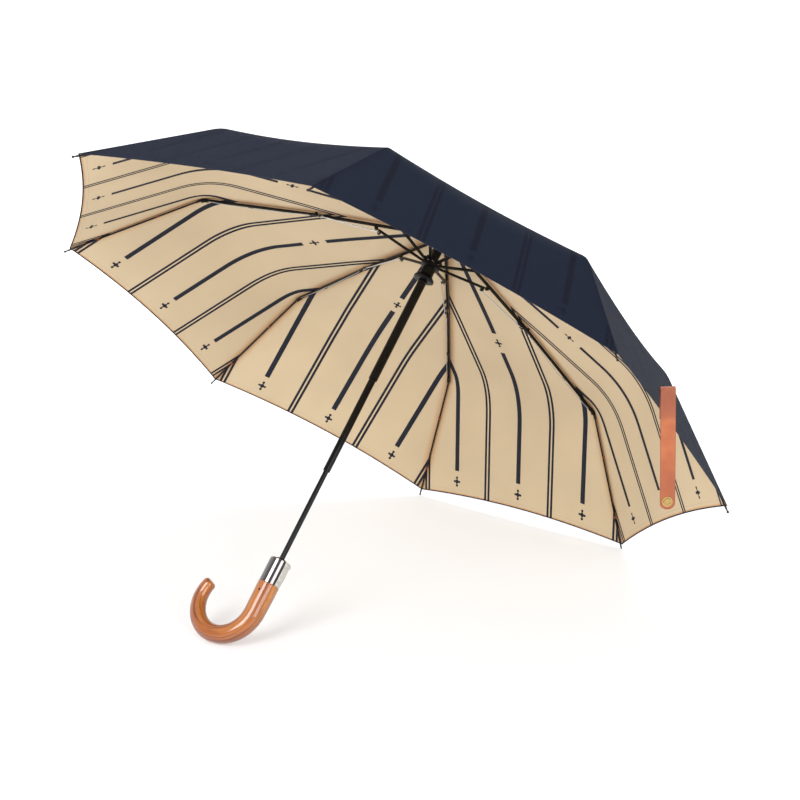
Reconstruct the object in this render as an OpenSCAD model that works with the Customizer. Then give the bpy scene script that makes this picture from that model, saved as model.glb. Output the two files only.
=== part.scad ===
// Folding umbrella with a crook handle, standing upright and open.
// Millimetres. The shaft runs along +Z and the origin is on the shaft axis,
// at the top face of the wooden handle. The hook of the handle points to +X.

/* [Canopy] */
// Radius from the shaft to the fabric corners
tip_r = 485; // [470:1:500]
// Height of the fabric corners
tip_z = 318; // [310:1:326]
// Radius of the outer rib joints
knee_r = 344; // [338:1:350]
// Height of the outer rib joints
knee_z = 459; // [454:1:464]
// Radius of the inner rib joints
elbow_r = 182; // [178:1:186]
// Height of the inner rib joints
elbow_z = 497; // [494:1:500]
// Height of the hinge ring in the crown
crown_z = 530; // [528:1:532]
// Radius of the hinge rings in the crown and the runner
ring_r = 11; // [10.8:0.1:11.4]
// Angle from the hook to the first rib
first_rib = 17; // [0:1:44]
// Thickness of the canopy shell
cloth_t = 0.5; // [0.4:0.1:1]
// Inward bow of the hem between two corners
hem_bow = 11; // [4:1:14]

/* [Ribs] */
// Width of the channel ribs
rib_w = 3.6; // [3.4:0.1:3.8]
// Depth of the channel ribs
rib_h = 3.2; // [3:0.1:3.4]
// Radius of the thin outer ribs
wire_r = 1.2; // [1:0.1:1.3]
// Radius of every hinge pin
pin_r = 0.8; // [0.6:0.1:0.9]
// Distance from the crown pin to the strut pin
strut_at = 86; // [80:1:90]
// Depth of the strut pin below the rib
strut_drop = 5; // [4.5:0.5:6]
// Radius of the bright link rods
rod_r = 0.8; // [0.6:0.1:0.9]

/* [Shaft] */
// Radius of the lower tube
lower_r = 3.4; // [3.2:0.1:3.6]
// Radius of the middle tube
middle_r = 4.8; // [4.6:0.1:5]
// Radius of the upper tube
upper_r = 6.1; // [5.9:0.1:6.3]
// Height where the middle tube begins
middle_z = 165; // [160:1:170]
// Height where the upper tube begins
upper_z = 304; // [300:1:308]
// Running clearance between the tubes
tube_gap = 0.05; // [0.03:0.01:0.08]

/* [Handle] */
// Radius of the wood under the collar
wood_r = 14.3; // [13.8:0.1:14.8]
// Radius of the wood at the hook's end
wood_end_r = 8.8; // [8:0.1:9.5]
// Straight length of the wood
wood_straight = 37.7; // [34:0.1:42]
// Radius of the first bend
bend_r1 = 45; // [43:1:48]
// Angle of the first bend
bend_a1 = 91; // [85:1:95]
// Radius of the second bend
bend_r2 = 41.5; // [40:0.5:44]
// Angle of the second bend
bend_a2 = 117; // [105:1:122]
// Radius of the polished collar
collar_r = 13.8; // [13.4:0.1:14]
// Height of the polished collar
collar_h = 34; // [32:1:36]

/* [Strap] */
// Width of the leather strap
strap_w = 17.5; // [15:0.5:20]
// Thickness of the leather strap
strap_t = 1.8; // [1.4:0.1:2.2]
// Length that rises from the hem to the fold
strap_rise = 38; // [36:1:46]
// Length that hangs from the fold
strap_drop = 145; // [140:1:156]

/* [Hidden] */
ribs = 8;
pin_gap = 0.05;
fit = 0.3;
hinge_r = pin_r + pin_gap;

// Slope of each rib section below the horizontal, and its length
top_slope = atan((crown_z - elbow_z) / (elbow_r - ring_r));
middle_slope = atan((elbow_z - knee_z) / (knee_r - elbow_r));
outer_slope = atan((knee_z - tip_z) / (tip_r - knee_r));
top_len = norm([elbow_r - ring_r, crown_z - elbow_z]);
middle_len = norm([knee_r - elbow_r, elbow_z - knee_z]);
outer_len = norm([tip_r - knee_r, knee_z - tip_z]);

// The crown pin, strut pin and runner pin make an isosceles linkage
arm = norm([strut_at, strut_drop]);
arm_slope = top_slope + atan(strut_drop / strut_at);
runner_z = crown_z - 2 * arm * sin(arm_slope);

// Pin of each rib joint, as radius and height
elbow_rise = 1.8;
elbow = [elbow_r + elbow_rise * sin(top_slope), elbow_z + elbow_rise * cos(top_slope)];
knee_drop = 1.6;
knee_down = elbow_rise + knee_drop;
knee = elbow + [middle_len * cos(middle_slope) - knee_down * sin(middle_slope),
                -middle_len * sin(middle_slope) - knee_down * cos(middle_slope)];
wire_rise = 1.5;

// Strut lever that works the link rod, and the lever on the middle rib
lever_len = 8.5;
lever_turn = 25;
lever_along = lever_len * cos(lever_turn);
lever_down = lever_len * sin(lever_turn);
tail_len = 7.4;
tail_angle = 210.9 + middle_slope - top_slope;
rod_len = 87.3;
rod_rise = 5.9;
rod_y = 3.6;
plate_y = 2.2;
plate_t = 0.4;
strut_pin = [ring_r + arm * cos(arm_slope), crown_z - arm * sin(arm_slope)];
rod_start = strut_pin + [-lever_along * cos(arm_slope) + lever_down * sin(arm_slope),
                         -lever_along * sin(arm_slope) - lever_down * cos(arm_slope)];

cheek = 0.6;
slot_half = 2.1;
hub_r = 14;
shaft_top = 538;
wood_pin_r = 1.4;

// Directions of the strap: up while the umbrella lies on the floor, and across its width
lie_turn = 84;
lie_rise = 48;
strap_turn = 39.5;
// How far the strap's foot stands off its seam on the hem
strap_off = 18.5;
lie_up = [cos(lie_rise) * cos(lie_turn), cos(lie_rise) * sin(lie_turn), sin(lie_rise)];
lie_e1 = [-sin(lie_turn), cos(lie_turn), 0];
lie_e2 = cross(lie_up, lie_e1);
strap_lean = 2.2;
strap_flat = cos(strap_turn) * lie_e1 + sin(strap_turn) * lie_e2;
strap_side = cos(strap_lean) * strap_flat + sin(strap_lean) * lie_up;
strap_up = cos(strap_lean) * lie_up - sin(strap_lean) * strap_flat;
strap_face = cross(strap_side, strap_up);
strap_base = [-441.9, 66.2, 330.8] - (4.2 + 0.16 * strap_off) * strap_side
    + strap_off * strap_face + 0.27 * strap_off * strap_up;
fold_r = 3;

// ---- helpers ----

// A frame in the plane of rib i: x along the rib, y across it, z to its fabric side
module rib_frame(i, at, slope) {
    rotate([0, 0, first_rib + 360 / ribs * (i - 1)])
        translate([at[0], 0, at[1]]) rotate([0, slope, 0]) children();
}

// A round bar across the rib, centred on the rib's plane
module cross_pin(r, w, x = 0, z = 0) {
    translate([x, 0, z]) rotate([90, 0, 0]) cylinder(r = r, h = w, center = true, $fn = 32);
}

// A bar along x from x0 to x1, centred across the rib, between two heights
module bar(x0, x1, w, z0, z1) {
    translate([x0, -w / 2, z0]) cube([x1 - x0, w, z1 - z0]);
}

// A channel rib, open on its underside
module channel(x0, x1, w, h) {
    difference() {
        bar(x0, x1, w, -h / 2, h / 2);
        bar(x0 - 1, x1 + 1, w - 2 * cheek, -h / 2 - 1, h / 2 - cheek);
    }
}

// Two cheeks that leave a gap of the given width between them
module fork(w, gap) {
    difference() {
        children();
        bar(-400, 400, gap, -50, 50);
    }
}

// A ring of straight wire around the shaft, one side to each rib
module wire_ring(z, r) {
    side = ring_r * tan(180 / ribs);
    for (i = [0:ribs - 1]) rotate([0, 0, first_rib + i * 360 / ribs]) {
        translate([ring_r, 0, z]) rotate([90, 0, 0])
            cylinder(r = r, h = 2 * side, center = true, $fn = 32);
        translate([ring_r, side, z]) sphere(r = 1.2 * r, $fn = 32);
    }
}

// Groove round a hub that the wire ring lies in
module wire_groove(z) {
    translate([0, 0, z]) rotate_extrude($fn = 64)
        translate([ring_r - pin_r - 0.1, -1]) square([20, 2]);
}

// Slots that the rib ends swing in, from an inner radius outwards
module hub_slots(z0, z1) {
    for (i = [0:ribs - 1]) rotate([0, 0, first_rib + i * 360 / ribs])
        translate([ring_r - 2.6, -slot_half, z0]) cube([20, 2 * slot_half, z1 - z0]);
}

// ---- rib sections ----

module top_rib(i) {
    color([0.06, 0.06, 0.065]) rib_frame(i, [ring_r, crown_z], top_slope) {
        // body with the crown eye, the strut lugs and the fork at the elbow
        difference() {
            union() {
                channel(3, top_len - 13, rib_w, rib_h);
                cross_pin(2.1, rib_w);
                bar(0, 4, rib_w, -1.3, 1.3);
                for (s = [-1, 1]) translate([0, s * (rib_w / 2 - cheek / 2), 0]) {
                    bar(strut_at - 2.4, strut_at + 2.4, cheek, -strut_drop, 0);
                    cross_pin(2.2, cheek, strut_at, -strut_drop);
                    bar(top_len - 13, top_len, cheek, -rib_h / 2, elbow_rise);
                    cross_pin(2, cheek, top_len, elbow_rise);
                }
            }
            cross_pin(hinge_r, 10);
            cross_pin(pin_r, 10, strut_at, -strut_drop);
            cross_pin(pin_r, 10, top_len, elbow_rise);
        }
        // rivets that the strut and the middle rib turn on
        cross_pin(pin_r, rib_w + 1, strut_at, -strut_drop);
        cross_pin(pin_r, rib_w + 0.2, top_len, elbow_rise);
    }
}

module strut(i) {
    web = rib_w / 2 - cheek;
    color([0.06, 0.06, 0.065]) rib_frame(i, strut_pin, 180 - arm_slope) mirror([0, 0, 1]) {
        difference() {
            union() {
                cross_pin(1.9, 2 * web - 0.2);
                bar(0, lever_along - 3, 2 * web - 0.2, -0.6, 1.4);
                translate([0, 0, 0.1]) channel(4.4, arm - 4, rib_w, 2.8);
                for (s = [-1, 1]) translate([0, s * (rib_w / 2 - cheek / 2), 0]) {
                    bar(lever_along - 2, lever_along + 2, cheek, -lever_down, 1);
                    cross_pin(2, cheek, lever_along, -lever_down);
                }
                cross_pin(1.8, rib_w, arm);
                bar(arm - 5, arm, rib_w, -1.2, 1.2);
            }
            cross_pin(hinge_r, 10);
            cross_pin(hinge_r, 10, arm);
            cross_pin(pin_r, 10, lever_along, -lever_down);
        }
        // rivet of the link rod, which runs beside the ribs
        translate([0, (rod_y + 0.9 - rib_w / 2) / 2, 0])
            cross_pin(pin_r, rod_y + 0.9 + rib_w / 2, lever_along, -lever_down);
    }
}

module link_rod(i) {
    eye_w = 1.4;
    color([0.8, 0.81, 0.83]) rib_frame(i, rod_start, top_slope - rod_rise)
        translate([0, rod_y, 0]) difference() {
            union() {
                cross_pin(1.6, eye_w);
                rotate([0, 90, 0]) translate([0, 0, 1.1])
                    cylinder(r = rod_r, h = rod_len - 4, $fn = 32);
                bar(rod_len - 5, rod_len + 2.4, 1.1, -2.3, 2.3);
            }
            cross_pin(hinge_r, 10);
            // slotted eye
            bar(rod_len - 1.5, rod_len + 1.5, 4, -1.5, 1.5);
        }
}

module middle_rib(i) {
    color([0.07, 0.07, 0.075]) rib_frame(i, elbow, middle_slope) {
        difference() {
            union() {
                // eye in the top rib's fork, and the neck that joins it to the channel
                cross_pin(1.9, 2.2);
                bar(0, 6, 2.2, -elbow_rise - 1.2, 0.2);
                translate([0, 0, -elbow_rise]) channel(5, middle_len - 4, rib_w - 0.4, rib_h - 0.2);
                // lever beside the fork that the link rod works
                translate([2.7, 0, -3.2]) cube([3.3, plate_y + plate_t, 2.7]);
                translate([0, plate_y + plate_t / 2, 0]) {
                    bar(-0.5, 6, plate_t, -3.2, -0.5);
                    cross_pin(1.7, plate_t);
                    rotate([0, -tail_angle, 0]) {
                        bar(0, tail_len, plate_t, -0.9, 0.9);
                        cross_pin(1.2, plate_t, tail_len);
                    }
                }
                // knuckle at the knee
                for (s = [-1, 1]) translate([0, s * 1.65, 0]) {
                    bar(middle_len - 9, middle_len, 0.7, -knee_down - 0.8, -elbow_rise + 1.5);
                    cross_pin(2.4, 0.7, middle_len, -knee_down);
                }
                // clip half-way along
                translate([0, 0, -elbow_rise]) {
                    bar(middle_len * 0.55, middle_len * 0.55 + 7, rib_w + 0.8, -2.2, -0.4);
                }
            }
            cross_pin(hinge_r, 10);
            cross_pin(pin_r, 10, middle_len, -knee_down);
        }
        // rivets
        rotate([0, -tail_angle, 0]) translate([0, (plate_y + rod_y + 0.9) / 2, 0])
            cross_pin(0.6, rod_y + 0.9 - plate_y, tail_len);
        cross_pin(pin_r, 4.6, middle_len, -knee_down);
    }
}

module outer_rib(i) {
    color([0.09, 0.09, 0.095]) rib_frame(i, knee, outer_slope) {
        difference() {
            union() {
                cross_pin(1.9, 2.2);
                bar(0, 9, 2.2, 0, wire_rise + 1.1);
                translate([0, 0, wire_rise]) rotate([0, 90, 0]) {
                    cylinder(r = wire_r, h = outer_len + 2, $fn = 24);
                    // ball tip beyond the fabric corner
                    translate([0, 0, outer_len + 2]) cylinder(r = 0.9, h = 3, $fn = 24);
                    translate([0, 0, outer_len + 6]) sphere(r = 1.6, $fn = 24);
                }
            }
            cross_pin(hinge_r, 10);
        }
    }
}

// ---- canopy ----

// Profile over the ribs, as radius and height of the outer face
cloth = [
    [8, crown_z + 8], [40, crown_z + 3.2], [elbow_r - 60, elbow_z + 17.5],
    [elbow_r + 2, elbow_z + 6.2], [knee_r - 40, knee_z + 15], [knee_r - 8, knee_z + 7],
    [knee_r + 8, knee_z - 1], [(knee_r + tip_r) / 2 + 3, (knee_z + tip_z) / 2 + 6],
    [tip_r + 2, tip_z + 5]];
spans = 4;

// Corner of the shell: j is the ring, a the step round it, down the depth below the outer face
function gore_x(j, a) =
    let (u = (a % spans) / spans,
         turn = first_rib + 360 / ribs * (a - u * spans) / spans,
         p0 = cloth[j][0] * [cos(turn), sin(turn)],
         p1 = cloth[j][0] * [cos(turn + 360 / ribs), sin(turn + 360 / ribs)],
         mid_turn = turn + 180 / ribs,
         sag = 4 * u * (1 - u) * hem_bow * pow(cloth[j][0] / tip_r, 4),
         flat = p0 + u * (p1 - p0) - sag * 0.7 * [cos(mid_turn), sin(mid_turn)])
    [flat[0], flat[1], cloth[j][1] + (j == len(cloth) - 1 ? sag * 0.7 : 0)];

module canopy() {
    n = ribs * spans;
    m = len(cloth);
    outer = [for (j = [0:m - 1]) for (a = [0:n - 1]) gore_x(j, a)];
    inner = [for (p = outer) p - [0, 0, cloth_t * (norm([p[0], p[1]]) > knee_r ? 1.4 : 1)]];
    color([0.09, 0.11, 0.19]) polyhedron(
        points = concat(outer, inner),
        faces = concat(
            [for (j = [0:m - 2]) for (a = [0:n - 1]) let (b = (a + 1) % n)
                each [[j * n + a, (j + 1) * n + a, j * n + b],
                      [j * n + b, (j + 1) * n + a, (j + 1) * n + b]]],
            [for (j = [0:m - 2]) for (a = [0:n - 1]) let (b = (a + 1) % n, o = n * m)
                each [[o + j * n + a, o + j * n + b, o + (j + 1) * n + a],
                      [o + j * n + b, o + (j + 1) * n + b, o + (j + 1) * n + a]]],
            [for (a = [0:n - 1]) let (b = (a + 1) % n, o = n * m, k = (m - 1) * n)
                each [[a, b, o + a], [b, o + b, o + a],
                      [k + a, o + k + a, k + b], [k + b, o + k + a, o + k + b]]]));
}

// ---- hubs and shaft ----

module crown() {
    color([0.05, 0.05, 0.055]) difference() {
        translate([0, 0, crown_z - 7]) cylinder(r = hub_r, h = 12, $fn = 64);
        translate([0, 0, crown_z - 8]) cylinder(r = upper_r, h = 20, $fn = 64);
        hub_slots(crown_z - 8, crown_z + 3);
        wire_groove(crown_z);
    }
}

module crown_wire() { color([0.6, 0.6, 0.62]) wire_ring(crown_z, pin_r); }
module runner_wire() { color([0.6, 0.6, 0.62]) wire_ring(runner_z, pin_r); }

module canopy_washer() {
    color([0.07, 0.08, 0.12]) difference() {
        translate([0, 0, shaft_top + 0.3]) cylinder(r = 17, h = 1.4, $fn = 64);
        translate([0, 0, shaft_top]) cylinder(r = 3, h = 4, $fn = 48);
    }
}

module tip_cap() {
    color([0.05, 0.05, 0.055]) {
        translate([0, 0, shaft_top - 6]) cylinder(r = 3, h = 9, $fn = 48);
        translate([0, 0, shaft_top + 1.7]) rotate_extrude($fn = 48)
            polygon(concat([[0, 0], [9, 0], [9, 2], [7, 4], [7, 14]],
                [for (a = [15:15:90]) [7 * cos(a), 14 + 5 * sin(a)]]));
    }
}

module runner() {
    z = runner_z;
    color([0.05, 0.05, 0.055]) difference() {
        translate([0, 0, z]) rotate_extrude($fn = 64)
            polygon([[upper_r + tube_gap, -27], [11.5, -27], [14.4, -25.5], [14.4, -23.5],
                     [10, -19], [9.2, -16], [9.2, -8], [13.6, -6], [13.6, 6],
                     [upper_r + tube_gap, 6]]);
        hub_slots(z - 3.4, z + 8);
        wire_groove(z);
    }
}

module tube(r, bore, z0, z1) {
    translate([0, 0, z0]) difference() {
        cylinder(r = r, h = z1 - z0, $fn = 64);
        translate([0, 0, -1]) cylinder(r = bore, h = z1 - z0 + 2, $fn = 64);
    }
}

lower_top = middle_z + 8;
middle_top = upper_z + 9;

module lower_tube() {
    color([0.04, 0.04, 0.045]) difference() {
        tube(lower_r, lower_r - 0.8, -24, lower_top);
        translate([0, 0, -12]) rotate([90, 0, 0])
            cylinder(r = wood_pin_r, h = 10, center = true, $fn = 32);
    }
}

module middle_tube() {
    color([0.04, 0.04, 0.045]) tube(middle_r, lower_r + tube_gap, middle_z, middle_top);
}

module upper_tube() {
    color([0.04, 0.04, 0.045]) difference() {
        tube(upper_r, middle_r + tube_gap, upper_z, shaft_top);
        translate([0, 0, shaft_top - 7]) cylinder(r = middle_r + tube_gap, h = 7.01, $fn = 64);
    }
    color([0.04, 0.04, 0.045]) tube(middle_r + tube_gap, 3, shaft_top - 5, shaft_top);
}

// ---- handle ----

wood_len1 = bend_r1 * bend_a1 * PI / 180;
wood_len2 = bend_r2 * bend_a2 * PI / 180;
wood_len = wood_straight + wood_len1 + wood_len2;

// Centre line of the wood at distance s from its top, as [x, z, direction angle]
function wood_at(s) =
    s < wood_straight ? [0, -s, 0]
    : s < wood_straight + wood_len1
    ? let (a = (s - wood_straight) / bend_r1 * 180 / PI)
        [bend_r1 * (1 - cos(a)), -wood_straight - bend_r1 * sin(a), a]
    : let (a = bend_a1 + (s - wood_straight - wood_len1) / bend_r2 * 180 / PI,
           cx = bend_r1 * (1 - cos(bend_a1)) + bend_r2 * cos(bend_a1),
           cz = -wood_straight - bend_r1 * sin(bend_a1) + bend_r2 * sin(bend_a1))
        [cx - bend_r2 * cos(a), cz - bend_r2 * sin(a), a];
function wood_radius(s) = wood_r - (wood_r - wood_end_r) * pow(s / wood_len, 1.35);

module handle() {
    sides = 36;
    steps = 38;
    end_round = 3;
    ring = concat(
        [[0, wood_r - 1], [0.4, wood_r - 0.3]],
        [for (k = [0:steps]) let (s = 1.2 + (wood_len - end_round - 1.2) * k / steps)
            [s, wood_radius(s)]],
        [for (a = [30, 60, 80]) [wood_len - end_round + end_round * sin(a),
            wood_end_r - end_round + end_round * cos(a)]]);
    n = len(ring);
    pts = [for (q = ring) let (c = wood_at(q[0])) for (k = [0:sides - 1])
        let (b = 360 * (k + 0.5) / sides, d = q[1] * cos(b))
        [c[0] + d * cos(c[2]), -q[1] * sin(b), c[1] + d * sin(c[2])]];
    color([0.72, 0.36, 0.1]) difference() {
        polyhedron(points = pts, faces = concat(
            [[for (k = [0:sides - 1]) k]],
            [for (j = [0:n - 2]) for (k = [0:sides - 1]) let (l = (k + 1) % sides)
                each [[j * sides + k, (j + 1) * sides + k, j * sides + l],
                      [j * sides + l, (j + 1) * sides + k, (j + 1) * sides + l]]],
            [[for (k = [sides - 1:-1:0]) (n - 1) * sides + k]]));
        translate([0, 0, -24]) cylinder(r = lower_r, h = 30, $fn = 64);
        translate([0, 0, -12]) rotate([90, 0, 0])
            cylinder(r = wood_pin_r, h = 40, center = true, $fn = 32);
    }
}

module handle_pin() {
    color([0.08, 0.06, 0.05]) translate([0, 0, -12]) rotate([90, 0, 0])
        cylinder(r = wood_pin_r, h = 2 * wood_radius(12) - 0.4, center = true, $fn = 32);
}

button_half = 5.7;
button_z0 = 6;
button_z1 = 27;
button_front = 10.1;
button_back = 6.8;

module collar() {
    color([0.42, 0.41, 0.42]) difference() {
        rotate_extrude($fn = 96) polygon([
            [lower_r, 0], [collar_r, 0], [collar_r, collar_h - 1.2],
            [collar_r - 1.2, collar_h], [lower_r, collar_h]]);
        // seat of the cap round the tube
        translate([0, 0, collar_h - 3]) cylinder(r = 8, h = 4, $fn = 64);
        // seat of the button's frame
        translate([-20, -button_half, -1]) cube([20 - button_back, 2 * button_half, button_z1 + 2.4]);
        translate([-20, -button_half, 0]) cube([8.5, 2 * button_half, collar_h + 1]);
    }
}

module button_frame() {
    color([0.72, 0.72, 0.7]) difference() {
        intersection() {
            rotate_extrude($fn = 96) polygon([[0, 0], [collar_r + 0.6, 0],
                [collar_r + 0.6, button_z1 - 2], [collar_r + 2.2, button_z1 + 1.6],
                [collar_r + 2.2, collar_h - 3.4], [collar_r + 0.4, collar_h - 0.6], [0, collar_h - 0.6]]);
            union() {
                translate([-20, -button_half, 0])
                    cube([20 - button_back, 2 * button_half, button_z1 + 1.4]);
                translate([-20, -button_half, 0]) cube([8.5, 2 * button_half, collar_h]);
            }
        }
        // well that the button slides in
        translate([-20, -button_half - 1, button_z0 - 0.3])
            cube([19 - button_back, 2 * button_half + 2, button_z1 - button_z0 + 0.6]);
    }
}

module collar_cap() {
    color([0.04, 0.04, 0.045]) difference() {
        union() {
            translate([0, 0, collar_h - 3]) cylinder(r = 8, h = 3, $fn = 64);
            translate([0, 0, collar_h]) cylinder(r1 = 7.6, r2 = 6.2, h = 2.2, $fn = 64);
        }
        translate([0, 0, collar_h - 4]) cylinder(r = lower_r, h = 9, $fn = 64);
    }
}

module release_button() {
    color([0.74, 0.74, 0.72]) intersection() {
        translate([-20, 0.3 - button_half, button_z0])
            cube([20 - button_front, 2 * button_half - 0.6, button_z1 - button_z0]);
        rotate_extrude($fn = 96) polygon([[0, button_z0], [collar_r + 0.6, button_z0],
            [collar_r + 1.3, button_z0 + 4], [collar_r + 1.3, button_z1 - 5],
            [collar_r + 0.8, button_z1], [0, button_z1]]);
    }
}

module button_spring() {
    // bowed leaf that presses the button outwards
    gap = button_front - button_back - 1.1;
    reach = 8;
    r = (gap * gap + reach * reach) / (2 * gap);
    color([0.7, 0.7, 0.72]) translate([-button_front + 0.05, 2, (button_z0 + button_z1) / 2])
        rotate([90, 0, 0]) linear_extrude(4) intersection() {
            translate([r, 0]) difference() {
                circle(r = r, $fn = 180);
                circle(r = r - 0.3, $fn = 180);
            }
            translate([0, -reach]) square([gap, 2 * reach]);
        }
}

// ---- strap ----

// Centre line of the strap: how far it stands out in front of its base, and how high
strap_path = concat(
    [[0, 0], [0, strap_rise - fold_r]],
    [for (a = [30:30:150]) [fold_r - fold_r * cos(a), strap_rise - fold_r + fold_r * sin(a)]],
    [[2 * fold_r, strap_rise - fold_r], [2 * fold_r, strap_rise - strap_drop + 4],
     [2 * fold_r, strap_rise - strap_drop]]);

function path_normal(k) =
    let (n = len(strap_path), p = strap_path[max(k - 1, 0)], q = strap_path[min(k + 1, n - 1)],
         d = (q - p) / norm(q - p))
    [-d[1], d[0]];

module strap() {
    n = len(strap_path);
    half = function(k) k == n - 1 ? strap_w / 2 - 5 : strap_w / 2;
    pts = [for (k = [0:n - 1]) for (c = [[-1, -1], [1, -1], [1, 1], [-1, 1]])
        let (p = strap_path[k] + path_normal(k) * c[1] * strap_t / 2)
        strap_base + strap_side * c[0] * half(k) + strap_face * p[0] + strap_up * p[1]];
    color([0.62, 0.31, 0.14]) polyhedron(points = pts, faces = concat(
        [[0, 1, 2, 3]],
        [for (k = [0:n - 2]) for (c = [0:3]) let (d = (c + 1) % 4)
            each [[4 * k + c, 4 * k + 4 + c, 4 * k + d],
                  [4 * k + d, 4 * k + 4 + c, 4 * k + 4 + d]]],
        [[4 * n - 1, 4 * n - 2, 4 * n - 3, 4 * n - 4]]));
}

module strap_snap() {
    at = strap_base + strap_face * (2 * fold_r + strap_t / 2)
        + strap_up * (strap_rise - strap_drop + 9.6);
    tilt = acos(strap_face[2]);
    turn = atan2(strap_face[1], strap_face[0]);
    color([0.75, 0.58, 0.25]) translate(at) rotate([0, tilt, turn]) {
        cylinder(r1 = 6.6, r2 = 6.2, h = 1.2, $fn = 48);
        translate([0, 0, 1.2]) difference() {
            cylinder(r1 = 4.4, r2 = 4.0, h = 0.9, $fn = 48);
            translate([0, 0, 0.3]) cylinder(r = 3.0, h = 1, $fn = 48);
        }
    }
}

handle();
handle_pin();
collar();
collar_cap();
release_button();
button_frame();
button_spring();
lower_tube();
middle_tube();
upper_tube();
crown();
crown_wire();
canopy_washer();
tip_cap();
canopy();
runner();
runner_wire();
strap();
strap_snap();
for (i = [1:ribs]) {
    top_rib(i);
    strut(i);
    link_rod(i);
    middle_rib(i);
    outer_rib(i);
}
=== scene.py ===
import bpy, bmesh, math
from mathutils import Matrix, Vector


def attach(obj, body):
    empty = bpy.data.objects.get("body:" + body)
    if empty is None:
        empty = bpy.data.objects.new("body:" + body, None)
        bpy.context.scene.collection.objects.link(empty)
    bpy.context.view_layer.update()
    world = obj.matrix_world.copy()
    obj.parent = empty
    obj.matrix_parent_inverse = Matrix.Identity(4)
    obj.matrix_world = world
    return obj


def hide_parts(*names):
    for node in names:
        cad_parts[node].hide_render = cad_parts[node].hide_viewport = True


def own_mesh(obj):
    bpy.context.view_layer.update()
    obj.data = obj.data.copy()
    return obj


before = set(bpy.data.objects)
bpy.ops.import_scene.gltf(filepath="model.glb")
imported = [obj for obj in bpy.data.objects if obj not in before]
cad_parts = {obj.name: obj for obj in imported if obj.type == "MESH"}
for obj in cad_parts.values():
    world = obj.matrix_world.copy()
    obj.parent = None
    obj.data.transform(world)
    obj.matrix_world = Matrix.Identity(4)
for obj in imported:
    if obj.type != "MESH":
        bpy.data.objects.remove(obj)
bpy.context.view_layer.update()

RIBS, FIRST, STEP = 8, 17.0, 45                 # ribs, bearing of the first, degrees from one to the next
HALF_GORE = math.radians(STEP / 2)
UP = Vector((0.07357, 0.66570, 0.74258))        # the way up while the umbrella lies on the floor
SIDE = Vector((-0.81694, -0.38685, 0.42774))    # to the right of the viewer
AHEAD = Vector((0.52958, -0.79688, 0.29073))    # the way the viewer looks
DOWN = Vector((-0.22839, -0.46403, -0.85587))   # toward the bottom of the view
FLOOR_D = -0.0706                               # height of the floor along UP


def lin(*c):
    """8-bit display colour to linear."""
    return tuple(((v / 255 + 0.055) / 1.055) ** 2.4 if v > 10 else v / 255 / 12.92 for v in c) + (1.0,)


# ---------------------------------------------------------------- node helpers

def node(nt, kind, ins=None, **props):
    """A shader node; each input takes a value, or a socket to link from."""
    n = nt.nodes.new("ShaderNode" + kind)
    for k, v in props.items():
        setattr(n, k, v)
    for k, v in (ins or {}).items():
        if isinstance(v, bpy.types.NodeSocket):
            nt.links.new(v, n.inputs[k])
        else:
            n.inputs[k].default_value = v
    return n


def calc(nt, op, a, b=0.0, c=0.0):
    return node(nt, "Math", {0: a, 1: b, 2: c}, operation=op).outputs[0]


def apart(nt, a, b):
    """Distance between two values."""
    return calc(nt, "ABSOLUTE", calc(nt, "SUBTRACT", a, b))


def mix(nt, fac, a, b):
    return node(nt, "Mix", {0: fac, 6: a, 7: b}, data_type="RGBA").outputs[2]


def ramp(nt, fac, stops):
    n = node(nt, "ValToRGB", {0: fac})
    e = n.color_ramp.elements
    while len(e) < len(stops):
        e.new(0.5)
    for k, (pos, col) in zip(e, stops):
        k.position, k.color = pos, col
    return n.outputs[0]


def remap(nt, v, a, b, c=0.0, d=1.0, kind="LINEAR"):
    return node(nt, "MapRange", {0: v, 1: a, 2: b, 3: c, 4: d}, interpolation_type=kind).outputs[0]


def split(nt, vec):
    return node(nt, "SeparateXYZ", {0: vec}).outputs


def stretched(nt, vec, *scale):
    return node(nt, "Mapping", {"Vector": vec, "Scale": scale}).outputs[0]


def noise(nt, vec, scale, detail=3.0, rough=0.5, dist=0.0):
    return node(nt, "TexNoise", {"Vector": vec, "Scale": scale, "Detail": detail,
                                 "Roughness": rough, "Distortion": dist}).outputs[0]


def material(name, **socks):
    m = bpy.data.materials.new(name)
    m.use_nodes = True
    nt = m.node_tree
    b = nt.nodes["Principled BSDF"]
    for k, v in socks.items():
        b.inputs[k.replace("_", " ")].default_value = v
    return m, nt, b


def bump(nt, b, height, strength, distance):
    n = node(nt, "Bump", {"Height": height, "Strength": strength, "Distance": distance})
    nt.links.new(n.outputs[0], b.inputs["Normal"])


def obj_co(nt):
    return node(nt, "TexCoord").outputs["Object"]


# ---------------------------------------------------------------- printed stripes of the cloth

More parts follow.
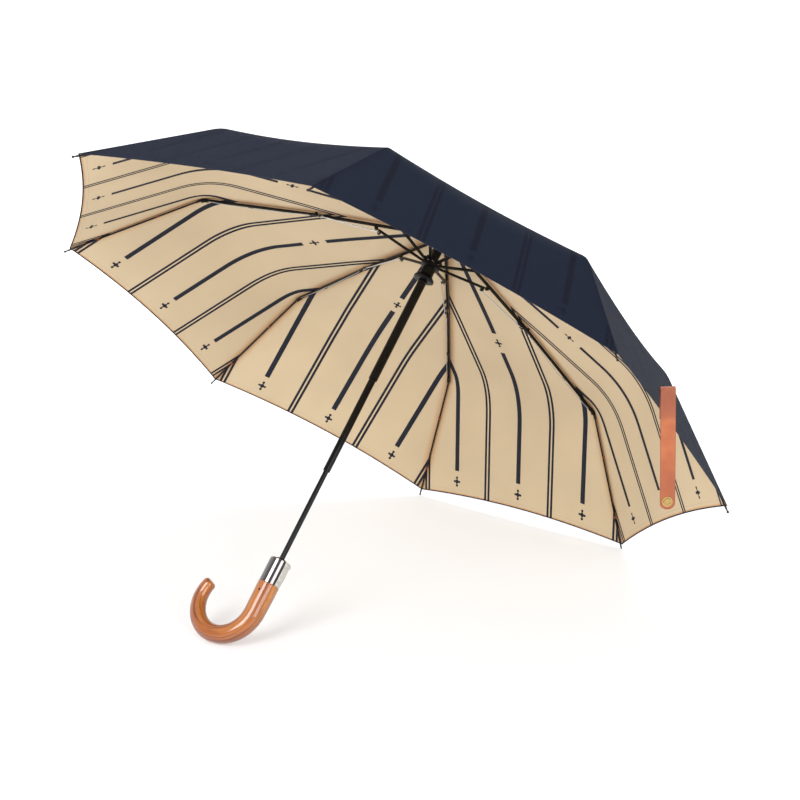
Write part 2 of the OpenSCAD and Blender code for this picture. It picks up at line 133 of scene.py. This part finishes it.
def print_group():
    """Stripes that run along a gore and a small four-lobed motif in their gaps.

    UV is metres across the gore and metres from the hem.
    """
    g = bpy.data.node_groups.new("gore_print", "ShaderNodeTree")
    g.interface.new_socket("UV", in_out="INPUT", socket_type="NodeSocketVector")
    g.interface.new_socket("Mask", in_out="OUTPUT", socket_type="NodeSocketFloat")
    i, o = g.nodes.new("NodeGroupInput"), g.nodes.new("NodeGroupOutput")
    x, y, _ = split(g, i.outputs[0])
    pitch = 0.116
    hem_motif, upper_motif = 0.0235, 0.306
    stripe_half, stripe_start, clear_of_motif = 0.0039, 0.042, 0.0215
    thin_half, thin_off = 0.0019, 0.0031

    def folded(v, shift):
        t = calc(g, "ADD", v, shift)
        r = calc(g, "ROUND", calc(g, "DIVIDE", t, pitch))
        return apart(g, t, calc(g, "MULTIPLY", r, pitch))

    thick_x = folded(x, 0.0)
    thin_x = folded(x, pitch / 2)
    # distance along from the nearest motif, which sits near the hem and again half-way up
    far = apart(g, y, upper_motif)
    my = calc(g, "MINIMUM", apart(g, y, hem_motif), far)
    stripe = calc(g, "MULTIPLY", calc(g, "LESS_THAN", thick_x, stripe_half),
                  calc(g, "GREATER_THAN", y, stripe_start))
    stripe = calc(g, "MULTIPLY", stripe, calc(g, "GREATER_THAN", far, clear_of_motif))
    thin = calc(g, "LESS_THAN", apart(g, thin_x, thin_off), thin_half)

    def disc(cx, cy, r):
        dx = calc(g, "SUBTRACT", thick_x, cx)
        dy = calc(g, "SUBTRACT", my, cy)
        d = calc(g, "SQRT", calc(g, "ADD", calc(g, "MULTIPLY", dx, dx), calc(g, "MULTIPLY", dy, dy)))
        return calc(g, "LESS_THAN", d, r)

    def box(w, h):
        return calc(g, "MULTIPLY", calc(g, "LESS_THAN", thick_x, w), calc(g, "LESS_THAN", my, h))

    lobe, reach, stem = 0.0046, 0.0068, 0.0010
    parts = [stripe, thin, disc(lobe, 0.0, 0.0019), disc(0.0, reach, 0.0021), box(stem, reach),
             calc(g, "LESS_THAN", calc(g, "ADD", thick_x, my), lobe)]
    m = parts[0]
    for q in parts[1:]:
        m = calc(g, "MAXIMUM", m, q)
    g.links.new(m, o.inputs[0])
    return g


PRINT = print_group()

EDGE_BAND, STITCH_LINE, STITCH_HALF = 0.0019, 0.0085, 0.0004    # metres in from the hem
SEAM_HALF, PUCKER_REACH = 0.0009, 0.022                         # metres out from a rib
STITCHES, THREADS = 330.0, 9000.0                               # per metre, radians per metre


def cloth(name, colour, ink, rib_and_hem_shade, inside):
    m, nt, b = material(name, Roughness=0.75 if inside else 0.6, IOR=1.18 if inside else 1.1)
    uv = node(nt, "UVMap", uv_map="Cloth").outputs[0]
    printed = node(nt, "Group", node_tree=PRINT)
    nt.links.new(uv, printed.inputs[0])
    printed = printed.outputs[0]
    rib_d = node(nt, "Attribute", attribute_name="rib_gap").outputs["Fac"]
    across, hem_d, _ = split(nt, uv)
    big = noise(nt, obj_co(nt), 9.0, 2.0)
    fine = noise(nt, uv, 900.0, 2.0, 0.6)
    base = mix(nt, remap(nt, big, 0.35, 0.7), colour, tuple(v * 0.93 for v in colour[:3]) + (1.0,))
    # painted shade: the cloth darkens (warm brown on the lining, deeper navy outside) close to each rib and close to
    # the hem
    rib_shade = remap(nt, rib_d, 0.0015, 0.014, 0.5, 0.0, "SMOOTHSTEP")
    hem_shade = remap(nt, hem_d, 0.0022, 0.0052, 0.7, 0.0, "SMOOTHSTEP")
    base = mix(nt, calc(nt, "MAXIMUM", rib_shade, hem_shade), base, rib_and_hem_shade)
    base = mix(nt, printed, base, ink)
    edge = calc(nt, "LESS_THAN", hem_d, EDGE_BAND)
    base = mix(nt, edge, base, lin(24, 27, 42))
    seam = calc(nt, "LESS_THAN", rib_d, SEAM_HALF)
    base = mix(nt, calc(nt, "MULTIPLY", seam, 0.55), base, ink)
    dots = calc(nt, "FRACT", calc(nt, "MULTIPLY", across, STITCHES))
    stitch = calc(nt, "MULTIPLY", calc(nt, "LESS_THAN", apart(nt, hem_d, STITCH_LINE), STITCH_HALF),
                  calc(nt, "LESS_THAN", dots, 0.62))
    base = mix(nt, calc(nt, "MULTIPLY", stitch, 0.2), base, ink)
    base = mix(nt, remap(nt, fine, 0.3, 0.7, 0.0, 0.12), base, ink)
    nt.links.new(base, b.inputs["Base Color"])
    warp, weft = (calc(nt, "SINE", calc(nt, "MULTIPLY", v, THREADS)) for v in (across, hem_d))
    weave = calc(nt, "MULTIPLY", calc(nt, "MULTIPLY", warp, weft), 0.06)
    ripple = noise(nt, stretched(nt, uv, 26.0, 6.0, 1.0), 1.0, 2.0)
    pucker = calc(nt, "MULTIPLY", noise(nt, stretched(nt, uv, 30.0, 160.0, 1.0), 1.0, 2.0),
                  remap(nt, rib_d, 0.0, PUCKER_REACH, 0.5, 0.0))
    relief = calc(nt, "ADD", pucker, calc(nt, "MULTIPLY", printed, 0.015))
    h = calc(nt, "ADD", calc(nt, "ADD", weave, ripple), relief)
    bump(nt, b, h, 0.35, 0.003)
    return m


# the third colour of each cloth is the painted shade near the ribs and the hem
CLOTH_IN = cloth("cloth_lining", lin(214, 193, 160), lin(40, 42, 52), lin(200, 142, 86), True)
CLOTH_OUT = cloth("cloth_outside", lin(17, 24, 40), lin(9, 14, 28), lin(13, 18, 34), False)


def hem_material():
    m, nt, b = material("cloth_hem", Roughness=0.7)
    n = noise(nt, obj_co(nt), 700.0, 2.0)
    nt.links.new(mix(nt, n, lin(20, 23, 38), lin(33, 36, 52)), b.inputs["Base Color"])
    bump(nt, b, n, 0.3, 0.0004)
    return m


HEM = hem_material()

# ---------------------------------------------------------------- canopy surface

CORNERS = [(0.009, 0.5378), (0.182, 0.5022), (0.3455, 0.4634), (0.4866, 0.3206)]
SEG = [Vector(b) - Vector(a) for a, b in zip(CORNERS, CORNERS[1:])]
LEN = [s.length for s in SEG]
S_ELBOW, S_KNEE, S_HEM = LEN[0], LEN[0] + LEN[1], sum(LEN)
BOW = 0.0115                                    # how far the hem bows in between two ribs
CLOTH_T = 0.0004
ELBOW_BEND, KNEE_BEND, KNEE_SLACK = 0.035, 0.016, 0.036     # half lengths of the bends along the cloth


def profile(s, soft):
    """Radius and height at distance s from the crown; soft is the half length of the bend at the knee."""
    for sc, p, d0, d1, h in ((S_ELBOW, CORNERS[1], SEG[0], SEG[1], ELBOW_BEND),
                             (S_KNEE, CORNERS[2], SEG[1], SEG[2], soft)):
        if abs(s - sc) < h:
            t = (s - sc + h) / (2 * h)
            a, c = Vector(p) - d0.normalized() * h, Vector(p) + d1.normalized() * h
            return a * (1 - t) ** 2 + Vector(p) * 2 * t * (1 - t) + c * t * t
    if s < S_ELBOW:
        return Vector(CORNERS[0]) + SEG[0] * (s / LEN[0])
    if s < S_KNEE:
        return Vector(CORNERS[1]) + SEG[1] * ((s - S_ELBOW) / LEN[1])
    return Vector(CORNERS[2]) + SEG[2] * ((s - S_KNEE) / LEN[2])


def cloth_point(gore, u, s):
    """Point of the cloth in a gore, u from one rib to the next, s from the crown."""
    arch = 4 * u * (1 - u)
    r, z = profile(s, KNEE_BEND + KNEE_SLACK * arch)
    a = math.radians(FIRST + STEP * (gore - 1))
    b = a + math.radians(STEP)
    p = Vector((math.cos(a), math.sin(a), 0)).lerp(Vector((math.cos(b), math.sin(b), 0)), u) * r
    return p + Vector((0, 0, z))


def hem_s(u):
    return S_HEM - BOW * 4 * u * (1 - u)


def cloth_frame(gore, u, s):
    e = 1e-4
    du = cloth_point(gore, min(u + e, 1), s) - cloth_point(gore, max(u - e, 0), s)
    ds = cloth_point(gore, u, s + e) - cloth_point(gore, u, s - e)
    n = ds.cross(du).normalized()
    return n if n.z > 0 else -n


def wedge(rib, zone):
    """The cloth round one rib, out to the middle of the gore on each side, for one section of the rib."""
    cols, rows = 12, (14, 20, 26)[zone]
    s0 = (0.0, S_ELBOW, S_KNEE)[zone]
    name = "cloth_%s_%d" % (("inner", "middle", "outer")[zone], rib)
    co, nrm, uvs, gaps, faces, face_mat, loops = [], [], [], [], [], [], []
    index = {}

    def vert(side, i, j, layer):
        # side -1 or +1 of the rib; i columns from the rib; the rib's own column is shared
        key = (0 if i == 0 else side, i, j, layer)
        u = i / cols * 0.5
        gore, uu = (rib, u) if side > 0 else ((rib - 2) % RIBS + 1, 1 - u)
        s1 = (S_ELBOW, S_KNEE, hem_s(uu))[zone]
        s = s0 + (s1 - s0) * j / rows
        n = cloth_frame(gore, uu, s)
        chord = 2 * profile(s, 0.02)[0] * math.sin(HALF_GORE)
        across = (uu - 0.5) * chord
        if key not in index:
            p = cloth_point(gore, uu, s)
            if i == 0:
                other = cloth_frame(rib, 0.0, s) + cloth_frame((rib - 2) % RIBS + 1, 1.0, s)
                p = p - other.normalized() * (CLOTH_T * layer)
            else:
                p = p - n * (CLOTH_T * layer)
            index[key] = len(co)
            co.append(p)
            gaps.append(u * chord)
        return index[key], n if layer == 0 else -n, (across, hem_s(uu) - s)

    def quad(vs, mat):
        faces.append([v[0] for v in vs])
        loops.extend((v[1], v[2]) for v in vs)
        face_mat.append(mat)

    for side in (-1, 1):
        for i in range(cols):
            for j in range(rows):
                for layer in (0, 1):
                    c = [vert(side, i, j, layer), vert(side, i + 1, j, layer),
                         vert(side, i + 1, j + 1, layer), vert(side, i, j + 1, layer)]
                    # outside faces up, lining faces down
                    if (side > 0) == (layer == 0):
                        c.reverse()
                    quad(c, layer)

    def rim(cells, mat):
        for (sa, ia, ja), (sb, ib, jb) in cells:
            q = [vert(sa, ia, ja, 0), vert(sb, ib, jb, 0), vert(sb, ib, jb, 1), vert(sa, ia, ja, 1)]
            p = [co[v[0]] for v in q]
            n = (p[1] - p[0]).cross(p[3] - p[0]).normalized()
            mid = co[vert(1, 0, rows // 2, 0)[0]]
            if n.dot(p[0] - mid) < 0:
                n, q = -n, q[::-1]
            quad([(v[0], n, v[2]) for v in q], mat)

    for side in (-1, 1):
        rim([((side, cols, j), (side, cols, j + 1)) for j in range(rows)], 1)
        rim([((side, i, 0), (side, i + 1, 0)) for i in range(cols)], 1)
        rim([((side, i, rows), (side, i + 1, rows)) for i in range(cols)], 2 if zone == 2 else 1)

    me = bpy.data.meshes.new(name)
    me.from_pydata([tuple(p) for p in co], [], faces)
    for m in (CLOTH_OUT, CLOTH_IN, HEM):
        me.materials.append(m)
    me.polygons.foreach_set("material_index", face_mat)
    me.polygons.foreach_set("use_smooth", [True] * len(faces))
    layer = me.uv_layers.new(name="Cloth")
    layer.data.foreach_set("uv", [x for l in loops for x in l[1]])
    at = me.attributes.new("rib_gap", "FLOAT", "POINT")
    at.data.foreach_set("value", gaps)
    me.normals_split_custom_set([tuple(l[0]) for l in loops])
    o = bpy.data.objects.new(name, me)
    bpy.context.scene.collection.objects.link(o)
    body = ("top_rib_%d", "middle_rib_%d", "outer_rib_%d")[zone] % rib
    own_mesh(o)
    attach(o, body)
    return o


wedges = [wedge(k, z) for k in range(1, RIBS + 1) for z in range(3)]
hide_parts("canopy")

# ---------------------------------------------------------------- mesh helpers


def make(name, verts, faces, mat, attr=None):
    """A smooth mesh of one material; attr holds vectors stored on its points."""
    me = bpy.data.meshes.new(name)
    me.from_pydata([tuple(v) for v in verts], [], faces)
    me.materials.append(mat)
    me.polygons.foreach_set("use_smooth", [True] * len(faces))
    for key, data in (attr or {}).items():
        a = me.attributes.new(key, "FLOAT_VECTOR", "POINT")
        a.data.foreach_set("vector", [x for v in data for x in v])
    bm = bmesh.new()
    bm.from_mesh(me)
    bmesh.ops.recalc_face_normals(bm, faces=bm.faces[:])
    bm.to_mesh(me)
    bm.free()
    o = bpy.data.objects.new(name, me)
    bpy.context.scene.collection.objects.link(o)
    return o


def tube(name, path, radius, mat, sides, body):
    """A round bar along a list of points, closed at both ends."""
    verts, faces = [], []
    n = len(path)
    ref = Vector((0.31, 0.52, 0.79))
    for k, p in enumerate(path):
        d = (path[min(k + 1, n - 1)] - path[max(k - 1, 0)]).normalized()
        x = d.cross(ref).normalized()
        y = d.cross(x)
        for q in range(sides):
            a = 2 * math.pi * q / sides
            verts.append(p + (x * math.cos(a) + y * math.sin(a)) * radius)
    for k in range(n - 1):
        for q in range(sides):
            a, b = k * sides + q, k * sides + (q + 1) % sides
            faces.append([a, b, b + sides, a + sides])
    faces.append(list(range(sides)))
    faces.append([(n - 1) * sides + q for q in range(sides)])
    o = make(name, verts, faces, mat)
    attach(o, body)
    return o


# ---------------------------------------------------------------- materials of the hard parts

def plain(name, colour, rough, metal=0.0, coat=0.0, ior=1.5,
          grain=400.0, vary=0.06, depth=0.0002, tone=0.85):
    """One colour with a little variation in tone, gloss and surface."""
    m, nt, b = material(name, Metallic=metal, Coat_Weight=coat, Coat_Roughness=0.05, IOR=ior)
    co = obj_co(nt)
    n, big = noise(nt, co, grain, 3.0), noise(nt, co, 45.0, 3.0)
    dark = tuple(v * tone for v in colour[:3]) + (1.0,)
    nt.links.new(mix(nt, big, colour, dark), b.inputs["Base Color"])
    nt.links.new(remap(nt, n, 0.25, 0.75, max(rough - vary, 0.01), rough + vary), b.inputs["Roughness"])
    bump(nt, b, n, 0.12, depth)
    return m


RIB_BLACK = plain("rib_black", lin(12, 12, 14), 0.36, ior=1.35)
SHAFT = plain("shaft_black", lin(5, 5, 7), 0.16, coat=0.12, vary=0.03, depth=0.00004, ior=1.3)
PLASTIC = plain("black_plastic", lin(9, 9, 11), 0.34, ior=1.3)
STEEL = plain("bright_steel", lin(205, 208, 212), 0.2, metal=1.0, grain=900.0)
GUNMETAL = plain("polished_collar", lin(128, 124, 124), 0.06, metal=1.0,
                 vary=0.02, depth=0.00002, tone=0.94)
GREY = plain("grey_plastic", lin(196, 194, 186), 0.45, grain=1500.0, depth=0.0001, tone=0.95)
BRASS = plain("brass", lin(180, 150, 96), 0.26, metal=1.0, grain=700.0)
PIN = plain("dark_pin", lin(28, 20, 16), 0.4, metal=0.5)
THREAD = plain("orange_thread", lin(196, 104, 48), 0.8, grain=2500.0)


def wood_material():
    m, nt, b = material("wood_malacca", Coat_Weight=1.0, Coat_Roughness=0.045, Coat_IOR=1.5)
    g = node(nt, "Attribute", attribute_name="grain").outputs["Vector"]
    f = noise(nt, stretched(nt, g, 290.0, 290.0, 9.0), 1.0, 5.0, 0.62, 0.35)
    w = noise(nt, stretched(nt, g, 48.0, 48.0, 5.0), 1.0, 3.0, 0.55, 0.6)
    p = noise(nt, stretched(nt, g, 900.0, 900.0, 60.0), 1.0, 2.0)
    base = ramp(nt, w, [(0.30, lin(112, 50, 12)), (0.44, lin(158, 82, 20)),
                        (0.56, lin(182, 108, 32)), (0.72, lin(204, 138, 58))])
    streak = remap(nt, f, 0.48, 0.62, 0.0, 0.8, "SMOOTHSTEP")
    base = mix(nt, streak, base, lin(96, 36, 8))
    base = mix(nt, remap(nt, p, 0.6, 0.72, 0.0, 0.5), base, lin(92, 38, 12))
    nt.links.new(base, b.inputs["Base Color"])
    nt.links.new(remap(nt, f, 0.3, 0.7, 0.3, 0.44), b.inputs["Roughness"])
    bump(nt, b, f, 0.08, 0.0004)
    return m


WOOD = wood_material()


def leather_material():
    m, nt, b = material("leather_tan", Roughness=0.5, Coat_Weight=0.12, Coat_Roughness=0.3)
    g = node(nt, "Attribute", attribute_name="strap_co").outputs["Vector"]
    across, along, _ = split(nt, g)
    co = obj_co(nt)
    n, big = noise(nt, co, 1100.0, 4.0, 0.6), noise(nt, co, 42.0, 3.0)
    base = mix(nt, remap(nt, big, 0.3, 0.7), lin(176, 96, 50), lin(150, 72, 34))
    half = calc(nt, "ABSOLUTE", across)
    edge = remap(nt, half, 0.0074, 0.0086, 0.0, 0.75, "SMOOTHSTEP")
    base = mix(nt, edge, base, lin(112, 50, 22))
    dash = calc(nt, "LESS_THAN", calc(nt, "FRACT", calc(nt, "MULTIPLY", along, 420.0)), 0.66)
    line = calc(nt, "LESS_THAN", apart(nt, half, 0.0069), 0.0003)
    st = calc(nt, "MULTIPLY", dash, line)
    base = mix(nt, calc(nt, "MULTIPLY", st, 0.6), base, lin(186, 112, 62))
    # painted shade where it folds over and behind; darker again toward its lower end
    top = remap(nt, along, -0.004, 0.004, 0.0, 0.62, "SMOOTHSTEP")
    base = mix(nt, top, base, lin(128, 62, 36))
    low = remap(nt, along, -0.078, -0.045, 0.5, 0.0, "SMOOTHSTEP")
    base = mix(nt, low, base, lin(142, 68, 36))
    nt.links.new(base, b.inputs["Base Color"])
    bump(nt, b, calc(nt, "ADD", calc(nt, "MULTIPLY", n, 0.5), calc(nt, "MULTIPLY", st, 0.8)), 0.35, 0.0004)
    return m


LEATHER = leather_material()

PAINT = {"middle_tube": SHAFT, "lower_tube": SHAFT, "upper_tube": SHAFT, "crown": PLASTIC, "runner": PLASTIC,
         "collar_cap": PLASTIC, "tip_cap": PLASTIC, "collar": GUNMETAL, "button_frame": GREY, "release_button": GREY,
         "button_spring": STEEL, "crown_wire": STEEL, "runner_wire": STEEL, "handle_pin": PIN, "canopy_washer": HEM,
         "strap_snap": BRASS}
for name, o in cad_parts.items():
    m = PAINT.get(name) or (STEEL if name.startswith("link_rod") else RIB_BLACK)
    o.data.materials.clear()
    o.data.materials.append(m)
    if name in ("collar", "collar_cap", "button_frame", "release_button", "runner", "crown"):
        bv = o.modifiers.new("soft_edges", "BEVEL")
        bv.width, bv.segments, bv.limit_method, bv.angle_limit = 0.0003, 2, "ANGLE", math.radians(40)

# ---------------------------------------------------------------- wooden crook

WOOD_R, WOOD_END, STRAIGHT = 0.0143, 0.0088, 0.0377     # radius at the collar, at the tip; straight length
B1, A1, B2, A2 = 0.045, math.radians(91), 0.0415, math.radians(117)     # two bends: radius and angle of each
BORE = 0.02
LEN1, LEN2 = B1 * A1, B2 * A2
WOOD_LEN = STRAIGHT + LEN1 + LEN2


def wood_at(s):
    """Point of the crook's centre line at distance s from the collar, and how far it has turned."""
    if s < STRAIGHT:
        return Vector((0, 0, -s)), 0.0
    if s < STRAIGHT + LEN1:
        a = (s - STRAIGHT) / B1
        return Vector((B1 * (1 - math.cos(a)), 0, -STRAIGHT - B1 * math.sin(a))), a
    a = A1 + (s - STRAIGHT - LEN1) / B2
    cx = B1 * (1 - math.cos(A1)) + B2 * math.cos(A1)
    cz = -STRAIGHT - B1 * math.sin(A1) + B2 * math.sin(A1)
    return Vector((cx - B2 * math.cos(a), 0, cz - B2 * math.sin(a))), a


def wood_r(s):
    return WOOD_R - (WOOD_R - WOOD_END) * (s / WOOD_LEN) ** 1.35


def crook():
    sides, rnd, steps, lip = 72, 0.0042, 120, 0.0012
    ring = [(0.0, 0.0036), (0.0, WOOD_R - 0.0009), (0.0003, WOOD_R - 0.0003), (0.0009, WOOD_R)]
    ring += [(lip + (WOOD_LEN - rnd - lip) * k / steps, None) for k in range(steps + 1)]
    ring += [(WOOD_LEN - rnd + rnd * math.sin(a), WOOD_END - rnd + rnd * math.cos(a))
             for a in [math.radians(x) for x in range(10, 91, 10)]]
    ring += [(WOOD_LEN + 0.0002, 0.0022)]
    verts, faces, grain = [], [], []
    for s, r in ring:
        r = wood_r(s) if r is None else r
        c, a = wood_at(min(s, WOOD_LEN))
        c = c + Vector((math.sin(a), 0, -math.cos(a))) * max(0.0, s - WOOD_LEN)
        for k in range(sides):
            t = 2 * math.pi * k / sides
            out = Vector((math.cos(a), 0, math.sin(a))) * r * math.cos(t)
            verts.append(c + out + Vector((0, r * math.sin(t), 0)))
            grain.append((r * math.cos(t), r * math.sin(t), s))
    for j in range(len(ring) - 1):
        for k in range(sides):
            a, b = j * sides + k, j * sides + (k + 1) % sides
            faces.append([a, b, b + sides, a + sides])
    faces.append([(len(ring) - 1) * sides + k for k in range(sides)])
    # bore for the tube
    n = len(verts)
    for k in range(sides):
        verts.append(verts[k] - Vector((0, 0, BORE)))
        grain.append(grain[k])
        faces.append([k, (k + 1) % sides, n + (k + 1) % sides, n + k])
    faces.append([n + k for k in range(sides)])
    o = make("crook_wood", verts, faces, WOOD, attr={"grain": grain})
    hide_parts("handle")
    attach(o, "grip")
    return o


crook()
PIN_DEPTH, PIN_HALF, PIN_R = 0.012, 0.01435, 0.00135
pin_path = [Vector((0, y, -PIN_DEPTH)) for y in (-PIN_HALF, -0.005, 0.005, PIN_HALF)]
pin = tube("dark_pin_dot", pin_path, PIN_R, PIN, 20, "grip")
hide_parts("handle_pin")

# ---------------------------------------------------------------- leather strap

LEAN, OFF = math.radians(2.2), 0.0185
STRAP_SIDE = SIDE * math.cos(LEAN) + UP * math.sin(LEAN)
STRAP_UP = UP * math.cos(LEAN) - SIDE * math.sin(LEAN)
FACE = STRAP_SIDE.cross(STRAP_UP).normalized()
STRAP_BASE = (Vector((-0.4419, 0.0662, 0.3308)) - STRAP_SIDE * (0.0042 + 0.16 * OFF)
              + FACE * OFF + STRAP_UP * 0.27 * OFF)
STRAP_W, STRAP_T, RISE, DROP, FOLD_R = 0.0175, 0.0018, 0.038, 0.145, 0.003
BELLY, STRAP_EDGE, STRAP_ROWS, FRONT_TOP = 0.0012, 0.0006, 90, 0.036


def strap():
    def path(s):
        # up behind, over the fold, then down in front, with a slight belly
        up1 = RISE - FOLD_R
        arc = math.pi * FOLD_R
        if s < up1:
            return Vector((0, s)), Vector((-1, 0))
        if s < up1 + arc:
            a = (s - up1) / FOLD_R
            return (Vector((FOLD_R - FOLD_R * math.cos(a), up1 + FOLD_R * math.sin(a))),
                    Vector((-math.cos(a), math.sin(a))))
        d = s - up1 - arc
        belly = BELLY * math.sin(d / (DROP - FOLD_R) * math.pi)
        return Vector((2 * FOLD_R + belly, up1 - d)), Vector((1, 0))

    total = RISE - FOLD_R + math.pi * FOLD_R + DROP - FOLD_R
    rows = [total * k / STRAP_ROWS for k in range(STRAP_ROWS + 1)]
    section = []
    hw, ht, rr = STRAP_W / 2, STRAP_T / 2, STRAP_EDGE
    for cx, cy, a0 in ((hw - rr, ht - rr, 0), (-hw + rr, ht - rr, 90),
                       (-hw + rr, -ht + rr, 180), (hw - rr, -ht + rr, 270)):
        for a in (0, 30, 60, 90):
            t = math.radians(a0 + a)
            section.append((cx + rr * math.cos(t), cy + rr * math.sin(t)))
    dense = []
    for i, (x, y) in enumerate(section):
        dense.append((x, y))
        x2, y2 = section[(i + 1) % len(section)]
        if abs(x2 - x) > 0.005:
            dense += [(x + (x2 - x) * f / 10, y) for f in range(1, 10)]
    verts, faces, at = [], [], []
    n = len(dense)
    for s in rows:
        p, nn = path(s)
        end = total - s
        k = 1.0
        if end < STRAP_W * 0.42:
            k = max(0.30, math.sqrt(max(0.0, 1 - ((STRAP_W * 0.42 - end) / (STRAP_W * 0.44)) ** 2)))
        for x, y in dense:
            q = p + nn * y
            verts.append(STRAP_BASE + STRAP_SIDE * (x * k) + FACE * q[0] + STRAP_UP * q[1])
            at.append((x, total - s - (DROP - FRONT_TOP), y))
    for j in range(len(rows) - 1):
        for k in range(n):
            a, b = j * n + k, j * n + (k + 1) % n
            faces.append([a, b, b + n, a + n])
    faces.append(list(range(n)))
    faces.append([(len(rows) - 1) * n + k for k in range(n)])
    o = make("strap_leather", verts, faces, LEATHER, attr={"strap_co": at})
    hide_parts("strap")
    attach(o, "strap")
    return o


strap()

# ---------------------------------------------------------------- small fittings on the ribs


def rib_dir(k):
    """Outward along rib k, and across it."""
    a = math.radians(FIRST + STEP * (k - 1))
    return Vector((math.cos(a), math.sin(a), 0)), Vector((-math.sin(a), math.cos(a), 0))


OUTER_R, OUTER_Z, OUTER_RUN = 0.3447, 0.4585, 0.141     # inner end of the outer rib, and its run both ways
TIE_R, TIE_WIRE, TIE_TURN, TIE_PITCH = 0.0018, 0.00035, 12, 0.00012
WIRE_R, WIRE_STEPS, WIRE_BELLY = 0.00045, 20, 0.0022

for k in range(1, RIBS + 1):
    r_hat, t_hat = rib_dir(k)
    # thread ties that hold the cloth to the outer rib
    for n, share in enumerate((0.33, 0.78)):
        r = OUTER_R + OUTER_RUN * share
        z = OUTER_Z - OUTER_RUN * share
        c = r_hat * r + Vector((0, 0, z))
        d = (r_hat - Vector((0, 0, 1))).normalized()
        nrm = (r_hat + Vector((0, 0, 1))).normalized()
        loop = []
        for q in range(2 * TIE_TURN + 1):
            a = 2 * math.pi * q / TIE_TURN
            loop.append(c + d * (q * TIE_PITCH - 0.0014) + t_hat * TIE_R * math.cos(a)
                        + nrm * (TIE_R * math.sin(a) + 0.0002))
        tube("thread_%d_%d" % (k, n + 1), loop, TIE_WIRE, THREAD, 6, "outer_rib_%d" % k)
    # thin wire along the middle rib
    pts = []
    for q in range(WIRE_STEPS + 1):
        f = q / WIRE_STEPS
        r = 0.190 + 0.146 * f
        z = 0.4951 - 0.0343 * f - WIRE_BELLY - WIRE_BELLY * math.sin(math.pi * f)
        pts.append(r_hat * r + t_hat * 0.0016 + Vector((0, 0, z)))
    tube("rib_wire_%d" % k, pts, WIRE_R, STEEL, 6, "middle_rib_%d" % k)

# ---------------------------------------------------------------- floor, light and camera


FLOOR_R, FLOOR_SIDES = 9.0, 96


def floor():
    """White ground that glows, weakly near the umbrella and more strongly with distance until it fades into the
    background, and is clear from below.
    """
    m, nt, b = material("floor_white", Base_Color=(0.55, 0.56, 0.58, 1.0), Roughness=0.9,
                        Specular_IOR_Level=0.1, Emission_Color=(1.0, 1.0, 1.0, 1.0))
    away = node(nt, "VectorMath", {0: obj_co(nt)}, operation="LENGTH").outputs["Value"]
    # painted light: the floor's own glow, weaker near the umbrella and full white far away
    nt.links.new(remap(nt, away, 0.4, 2.0, 0.46, 1.0, "SMOOTHSTEP"), b.inputs["Emission Strength"])
    out = nt.nodes["Material Output"]
    back = nt.nodes.new("ShaderNodeNewGeometry").outputs["Backfacing"]
    clear = nt.nodes.new("ShaderNodeBsdfTransparent")
    sh = nt.nodes.new("ShaderNodeMixShader")
    nt.links.new(back, sh.inputs[0])
    nt.links.new(b.outputs[0], sh.inputs[1])
    nt.links.new(clear.outputs[0], sh.inputs[2])
    nt.links.new(sh.outputs[0], out.inputs[0])
    c = UP * FLOOR_D
    x = SIDE.cross(UP).normalized()
    n = FLOOR_SIDES
    verts = [c + (x * math.cos(2 * math.pi * k / n) + SIDE * math.sin(2 * math.pi * k / n)) * FLOOR_R
             for k in range(n)]
    me = bpy.data.meshes.new("floor")
    me.from_pydata([tuple(v) for v in verts], [], [list(range(n))])
    if me.polygons[0].normal.dot(UP) < 0:
        me.flip_normals()
    me.materials.append(m)
    o = bpy.data.objects.new("floor", me)
    bpy.context.scene.collection.objects.link(o)


floor()

world = bpy.data.worlds.new("studio")
bpy.context.scene.world = world
world.use_nodes = True
wn = world.node_tree
wb = wn.nodes["Background"]
LEVEL = AHEAD - UP * AHEAD.dot(UP)
LEVEL.normalize()
# white sweep ahead, dim room behind the viewer and overhead
way = node(wn, "TexCoord").outputs["Generated"]
ahead = node(wn, "VectorMath", {0: way, 1: tuple(LEVEL)}, operation="DOT_PRODUCT").outputs["Value"]
height = node(wn, "VectorMath", {0: way, 1: tuple(UP)}, operation="DOT_PRODUCT").outputs["Value"]
white = calc(wn, "MULTIPLY", remap(wn, ahead, -0.35, 0.25, 0.0, 1.0, "SMOOTHSTEP"),
             remap(wn, height, 0.35, 0.75, 1.0, 0.35, "SMOOTHSTEP"))
wn.links.new(mix(wn, white, (0.34, 0.34, 0.35, 1.0), (1.05, 1.05, 1.05, 1.0)), wb.inputs[0])
wb.inputs[1].default_value = 1.0
CENTRE = Vector((-0.08, 0.0, 0.33))


def lamp(name, right, up, toward, size, power, spread=180):
    d = bpy.data.lights.new(name, "AREA")
    d.shape, d.size, d.energy, d.spread = "SQUARE", size, power, math.radians(spread)
    o = bpy.data.objects.new(name, d)
    at = CENTRE + SIDE * right + UP * up - LEVEL * toward
    o.location = at
    o.rotation_mode = "QUATERNION"
    o.rotation_quaternion = (CENTRE - at).to_track_quat("-Z", "Y")
    bpy.context.scene.collection.objects.link(o)


lamp("key", -1.5, 1.5, 1.9, 1.5, 60)
lamp("top", 0.3, 2.6, -0.4, 2.4, 62)
lamp("fill", 1.2, 0.9, 2.4, 1.4, 30)

CAM_AT, CAM_LENS = (-1.1717, 1.6833, -0.3272), 73.18
cam = bpy.data.cameras.new("camera")
cam.lens, cam.sensor_width, cam.sensor_fit = CAM_LENS, 36.0, "AUTO"
cam.clip_start, cam.clip_end = 0.05, 60.0
cam_o = bpy.data.objects.new("camera", cam)
bpy.context.scene.collection.objects.link(cam_o)
turn = Matrix((SIDE, -DOWN, -AHEAD)).transposed().to_4x4()
cam_o.matrix_world = Matrix.Translation(CAM_AT) @ turn
bpy.context.scene.camera = cam_o

bpy.context.scene.view_settings.view_transform = "Standard"
